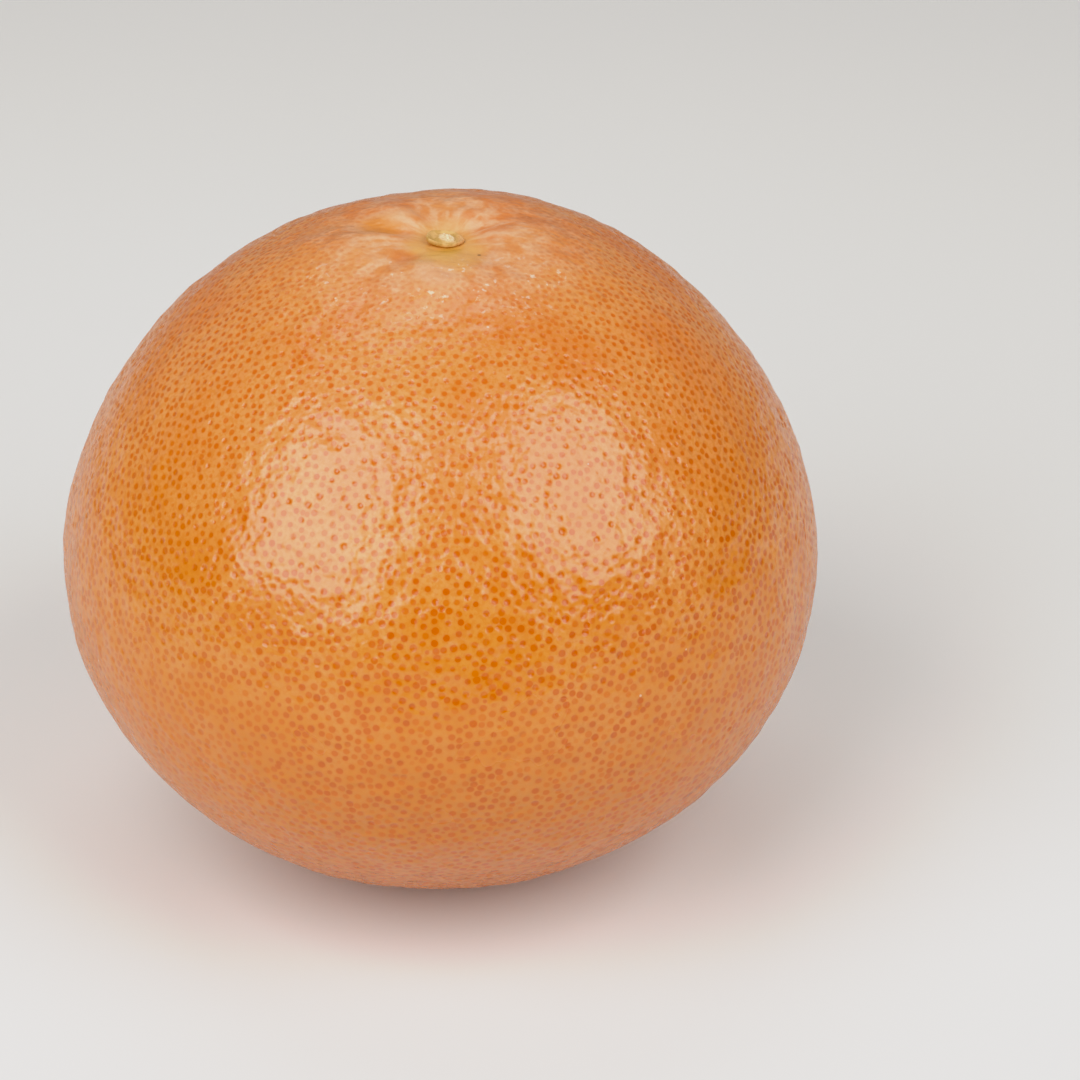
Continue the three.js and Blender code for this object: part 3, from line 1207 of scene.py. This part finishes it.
@dataclass(frozen=True)
class CalyxFinish:
    """The dried calyx: tan and olive, with painted shadow as a dark band under its rim, and a pale cork
    scar.
    """

    tan: Tint = Tint(212, 166, 104)
    clouds: Grain = Grain(1.6 * MM, 2)
    olive: Veil = Veil(0.4, 0.62, 1.0, Tint(188, 144, 78))
    rosy: Veil = Veil(0.8 * MM, 2.2 * MM, 0.8, Tint(214, 158, 106))
    # Painted shadow: a dark band low on the button, where its rim overhangs the skin.
    painted_rim_shadow: Veil = Veil(0.35 * MM, 0.05 * MM, 0.85, Tint(156, 104, 36))
    scar_shade: Tint = Tint(220, 182, 136)
    scar: Veil = Veil(0.4, 0.6, 1.0, Tint(235, 207, 168))
    scar_edge: Span = (0.8, 1.15)
    scar_ragged: float = 1.5 * MM
    top: Span = (0.3 * MM, 0.5 * MM)
    grain: Grain = Grain(0.5 * MM, 3)
    grain_height: float = 0.12  # in millimetres, as the next one's
    fine_grain: Grain = Grain(0.2 * MM, 2, 0.03)
    roughness: float = 0.75

    def material(self, button: "StemButton") -> bpy.types.Material:
        """Makes the button's material.

        Args:
            button: its sizes and its place.

        Returns:
            The material.
        """
        material, bench = new_material("calyx")
        east, north, up = bench.parts(bench.place())
        off_east = east - (button.lean + button.scar_offset)
        height = up - button.seat_height
        grain = self.grain.on(bench)
        colour = self.olive.over(bench, self.tan, self.clouds.on(bench))
        colour = self.rosy.over(bench, colour, off_east)
        # Painted shadow under the rim.
        colour = self.painted_rim_shadow.over(bench, colour, height)
        away = (off_east * off_east + north * north).root() + (grain - 0.5) * self.scar_ragged
        start, end = (share * button.scar_radius for share in self.scar_edge)
        shown = (1 - away.stepped(start, end)) * height.stepped(*self.top)
        colour = bench.mix(shown, colour, self.scar.over(bench, self.scar_shade, grain))
        relief = grain * self.grain_height + self.fine_grain.on(bench)
        sockets = {"Base Color": colour, "Roughness": self.roughness, "Normal": bench.bump(relief, MM)}
        bench.finish(sockets)
        return material


@dataclass
class StemButton:
    """The small dry disc that the stem left: a lipped rim, a shallow dish and a raised rough scar."""

    seat_height: float
    lean: float
    finish: CalyxFinish
    rim: float = 2.75 * MM
    oval: float = 0.84
    rooted: float = 0.35 * MM
    foot: float = 0.66
    thickness: float = 0.9 * MM
    outline: tuple[Span, ...] = (
        (0.78, 0.02),
        (0.94, 0.24),
        (1.0, 0.5),
        (0.99, 0.84),
        (0.93, 0.98),
        (0.84, 0.84),
        (0.72, 0.64),
        (0.56, 0.6),
        (0.42, 0.88),
        (0.3, 1.06),
        (0.15, 1.1),
        (0, 1.08),
    )
    tilt: float = math.radians(5)
    rim_starts: float = 0.4
    rim_ripples: tuple[Ripple, ...] = (Ripple(5, 0.6, 0.03), Ripple(13, 1, 0.012), Ripple(23, 2.5, 0.008))
    upturn: float = 0.16 * MM
    upturn_starts: float = 0.6
    above: Span = (0.3, 0.7)
    scar_radius: float = 1.2 * MM
    scar_offset: float = 0.4 * MM
    scar_core: float = 0.8
    lump_height: float = 0.08 * MM
    lump_sizes: tuple[float, float, float] = (0.19 * MM, 0.16 * MM, 0.11 * MM)
    sectors: int = 168
    outline_steps: int = 84

    def profile(self) -> Array:
        """The outline from the hidden middle below to the top's middle, in even steps.

        Its knots are shares of the rim's radius and of the thickness.

        Returns:
            Distance from the axis and height, a row for each step.
        """
        hidden = [(0, -self.rooted), (self.foot * self.rim, -self.rooted)]
        knots = np.vstack([hidden, np.array(self.outline) * (self.rim, self.thickness)])
        along = np.concatenate([[0], np.cumsum(np.linalg.norm(np.diff(knots, axis=0), axis=1))])
        steps = np.linspace(0, along[-1], self.outline_steps)
        return np.column_stack([np.interp(steps, along, knots[:, i]) for i in range(2)])

    def points(self, profile: Array) -> Array:
        """The outline turned about the axis, with its rim bent and its scar roughened, then tilted.

        Args:
            profile: distance and height along the outline.

        Returns:
            A row of three for each point, ring by ring, and then the middles below and above.
        """
        azimuth = np.linspace(0, 2 * math.pi, self.sectors, endpoint=False)
        across, height = (np.repeat(profile[1:-1, i : i + 1], self.sectors, axis=1) for i in range(2))
        outer = smooth_step(across, self.rim_starts * self.rim, self.rim)
        across = across * (1 + sum(ripple.heights(azimuth) for ripple in self.rim_ripples) * outer)
        x = across * np.cos(azimuth)
        y = across * np.sin(azimuth) * (1 - (1 - self.oval) * outer)

        above = smooth_step(height, *(share * self.thickness for share in self.above))
        left = np.maximum(-np.cos(azimuth), 0) ** 2
        turned_up = left * smooth_step(across, self.upturn_starts * self.rim, self.rim)
        from_scar = np.hypot(x - self.scar_offset, y)
        scar = 1 - smooth_step(from_scar, self.scar_core * self.scar_radius, self.scar_radius)
        wide, deep, slanting = self.lump_sizes
        lumps = np.cos(x / wide + 1) * np.cos(y / deep) + np.cos((x + y) / slanting)
        z = height + (self.upturn * turned_up + self.lump_height * lumps * scar) * above

        rings = np.column_stack([x.ravel(), y.ravel(), z.ravel()])
        middles = [(0, 0, profile[i, 1]) for i in (0, -1)]
        points = np.vstack([rings, middles])
        cosine, sine = math.cos(self.tilt), math.sin(self.tilt)
        turned = points @ np.array([(cosine, 0, -sine), (0, 1, 0), (sine, 0, cosine)])
        return turned + (self.lean, 0, self.seat_height)

    def faces(self, rows: int) -> Array:
        """The triangles between the rings, and the fans that close the bottom and the top.

        Args:
            rows: how many rings there are.

        Returns:
            One row of three point numbers for each triangle.
        """
        here = np.arange(rows * self.sectors).reshape(rows, self.sectors)
        after = np.roll(here, -1, axis=1)
        quads = np.stack([here[:-1], after[:-1], after[1:], here[1:]], axis=2).reshape(-1, 4)
        bottom, top = rows * self.sectors, rows * self.sectors + 1
        under = np.column_stack([after[0], here[0], np.full(self.sectors, bottom)])
        over = np.column_stack([here[-1], after[-1], np.full(self.sectors, top)])
        return np.vstack([quads[:, [0, 1, 2]], quads[:, [0, 2, 3]], under, over])

    def build(self) -> bpy.types.Object:
        """Makes the button, seated in the basin.

        Returns:
            The new piece.
        """
        profile = self.profile()
        faces = self.faces(len(profile) - 2)
        piece = mesh_object("calyx_button", self.points(profile), faces, self.finish.material(self))
        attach(piece, "root")
        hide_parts("stem_button")
        return piece


@dataclass(frozen=True)
class Softbox:
    """A large soft light, aimed at the fruit from where the camera sees it reflected.

    The place is to the camera's right, above it and back towards it, each a share of the distance.
    """

    name: str
    place: tuple[float, float, float]
    size: tuple[float, float]
    brightness: float
    distance: float = 0.9


class Side(Enum):
    """The two sides of the studio, as the world's light falls from them."""

    FRONT = 0.12
    BACK = 0.35


@dataclass
class Studio:
    """The floor, the lights and the camera."""

    centre: Vector
    elevation: float = math.radians(29.5)
    camera_distance: float = 0.65
    lens: float = 144.7
    shift: tuple[float, float] = (0.0918, -0.0025)
    floor_size: float = 8.0
    floor: Tint = Tint(238, 237, 235)
    floor_roughness: float = 0.8
    room_tint: tuple[float, float, float, float] = (1.0, 0.93, 0.84, 1.0)
    room_turns: Span = (-0.5, 0.7)
    softboxes: tuple[Softbox, ...] = (
        Softbox("key_softbox", (-0.529, 0.264, 0.808), (0.74, 0.88), 3.65),
        Softbox("fill_softbox", (0.625, 0.31, 0.717), (0.68, 0.78), 3.2),
        Softbox("overhead_softbox", (-0.1, 0.97, 0.12), (0.6, 0.35), 1.9),
    )
    black_level: float = 0.02
    white_level: float = 3.0
    tones: tuple[Span, ...] = (
        (0.6, 0.588),
        (0.8, 0.733),
        (1.05, 0.8),
        (1.5, 0.885),
        (2.1, 0.96),
    )

    def axes(self) -> tuple[Vector, Vector, Vector]:
        """The camera's right, up and back."""
        rise, run = math.sin(self.elevation), math.cos(self.elevation)
        return Vector((1, 0, 0)), Vector((0, rise, run)), Vector((0, -run, rise))

    def aim(self, piece: bpy.types.Object, direction: Vector, distance: float) -> None:
        """Puts a light or the camera in place, facing the fruit's middle.

        Args:
            piece: the light's or the camera's object.
            direction: which way it lies from the middle.
            distance: how far.
        """
        bpy.context.scene.collection.objects.link(piece)
        piece.location = self.centre + direction.normalized() * distance
        piece.rotation_euler = (-direction).to_track_quat("-Z", "Y").to_euler()

    def place_camera(self) -> None:
        """Sets up the camera, with the fruit left of the picture's middle."""
        camera = bpy.data.cameras.new("camera")
        camera.lens = self.lens
        camera.shift_x, camera.shift_y = self.shift
        holder = bpy.data.objects.new("camera", camera)
        self.aim(holder, self.axes()[2], self.camera_distance)
        bpy.context.scene.camera = holder

    def place_softboxes(self) -> None:
        """Hangs the softboxes. A light's power is its brightness times its area times pi."""
        for box in self.softboxes:
            light = bpy.data.lights.new(box.name, "AREA")
            light.shape = "RECTANGLE"
            light.size, light.size_y = box.size
            light.energy = box.brightness * math.pi * box.size[0] * box.size[1]
            direction = sum((axis * share for axis, share in zip(self.axes(), box.place)), Vector())
            self.aim(bpy.data.objects.new(box.name, light), direction, box.distance)

    def light_world(self) -> None:
        """Lights the room from all round, dimmer from the camera's side."""
        world = bpy.data.worlds.new("studio")
        world.use_nodes = True
        bpy.context.scene.world = world
        bench = Bench(world.node_tree)
        direction = bench.node("ShaderNodeTexCoord", {}, {}).outputs["Generated"]
        ahead = -self.axes()[2]
        dot = bench.node("ShaderNodeVectorMath", {"operation": "DOT_PRODUCT"}, {0: direction, 1: ahead})
        behind = Signal(bench, dot.outputs["Value"]).stepped(*self.room_turns)
        strength = Side.FRONT.value + behind * (Side.BACK.value - Side.FRONT.value)
        light = bench.node("ShaderNodeBackground", {}, {"Color": self.room_tint, "Strength": strength})
        bench.node("ShaderNodeOutputWorld", {}, {"Surface": light.outputs["Background"]})

    def lay_floor(self) -> None:
        """Lays the plain pale floor that the fruit rests on."""
        material, bench = new_material("floor")
        bench.finish({"Base Color": self.floor.linear(), "Roughness": self.floor_roughness})
        half = self.floor_size / 2
        corners = np.array([(-half, -half, 0), (half, -half, 0), (half, half, 0), (-half, half, 0)])
        mesh_object("floor", corners, np.array([(0, 1, 2, 3)]), material)

    def develop(self) -> None:
        """Gives the picture a camera's soft shoulder: light past the middle tones is held back."""
        view = bpy.context.scene.view_settings
        view.view_transform = "Standard"
        view.use_curve_mapping = True
        mapping = view.curve_mapping
        mapping.black_level = (self.black_level,) * 3
        mapping.white_level = (self.white_level,) * 3
        all_colours = mapping.curves[3]
        for light, shown in self.tones:
            all_colours.points.new(light / self.white_level, shown)
        mapping.update()

    def build(self) -> None:
        """Sets the studio up."""
        self.place_camera()
        self.place_softboxes()
        self.light_world()
        self.lay_floor()
        self.develop()


def main() -> None:
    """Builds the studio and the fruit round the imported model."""
    logging.basicConfig(level=logging.INFO, format="%(name)s: %(message)s")
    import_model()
    shape = FruitShape()
    Studio(Vector((0, 0, shape.centre_height))).build()
    Rind(shape, GlandPattern(), RindFinish()).build()
    StemButton(shape.seat_height, shape.stem_lean, CalyxFinish()).build()


if __name__ == "__main__":
    main()
